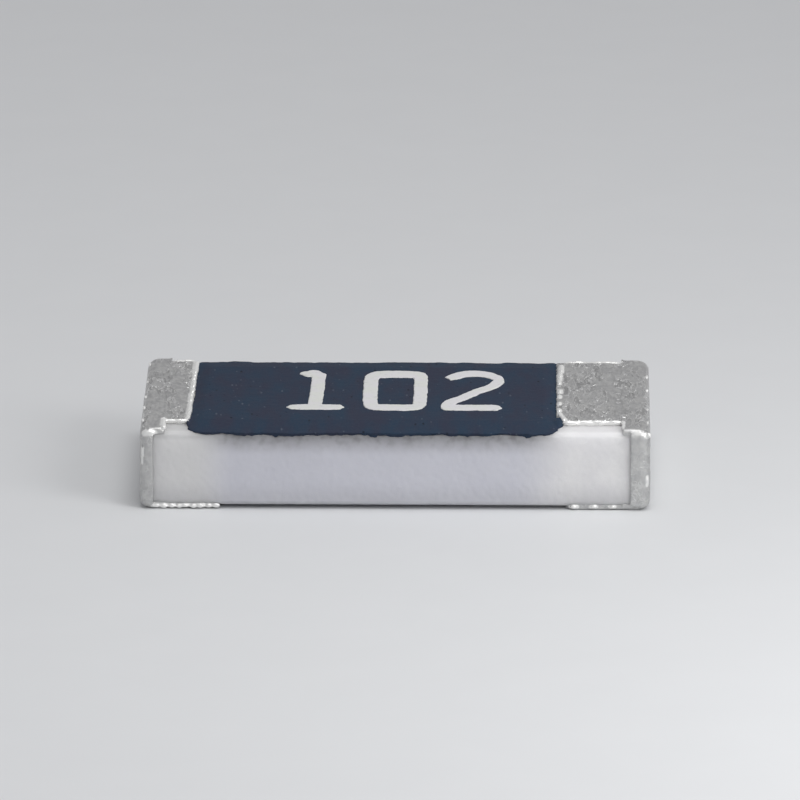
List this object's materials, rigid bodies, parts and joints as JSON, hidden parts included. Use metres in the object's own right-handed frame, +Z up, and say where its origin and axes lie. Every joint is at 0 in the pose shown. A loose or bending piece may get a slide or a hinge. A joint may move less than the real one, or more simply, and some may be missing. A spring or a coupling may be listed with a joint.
{
  "type": "chip resistor",
  "caption": "Rectangular thick-film chip resistor: ceramic body, dark protective coat with a plain value code, tinned end caps with solder lands for surface mounting.",
  "frame": {"origin": "under the middle of the chip, in the plane of the tinned lands that it stands on", "axes": "+X along the chip from its left end cap to its right end cap, +Y from the front side to the back side, +Z up through the coated top"},
  "size_m": [0.0032, 0.0016, 0.0005],
  "materials": {
    "alumina": "matt fired alumina",
    "silver_print": "fired silver palladium paste",
    "resistor_print": "fired ruthenium oxide film",
    "glass_print": "fired glass glaze",
    "coat": "matt dark epoxy print",
    "cap_paste": "cured conductive paste",
    "nickel": "satin nickel plate",
    "tin": "matt tin plate",
    "marking": "pale printed value code, on the overcoat"
  },
  "bodies": {
    "root": {"ceramic_substrate": "alumina", "top_electrode_left": "silver_print", "top_electrode_right": "silver_print", "bottom_electrode_left": "silver_print", "bottom_electrode_right": "silver_print", "resistor_film": "resistor_print", "glass_coat": "glass_print", "overcoat": "coat", "end_cap_left": "cap_paste", "end_cap_right": "cap_paste", "nickel_barrier_left": "nickel", "nickel_barrier_right": "nickel", "tin_plating_left": "tin", "tin_plating_right": "tin"}
  },
  "joints": []
}
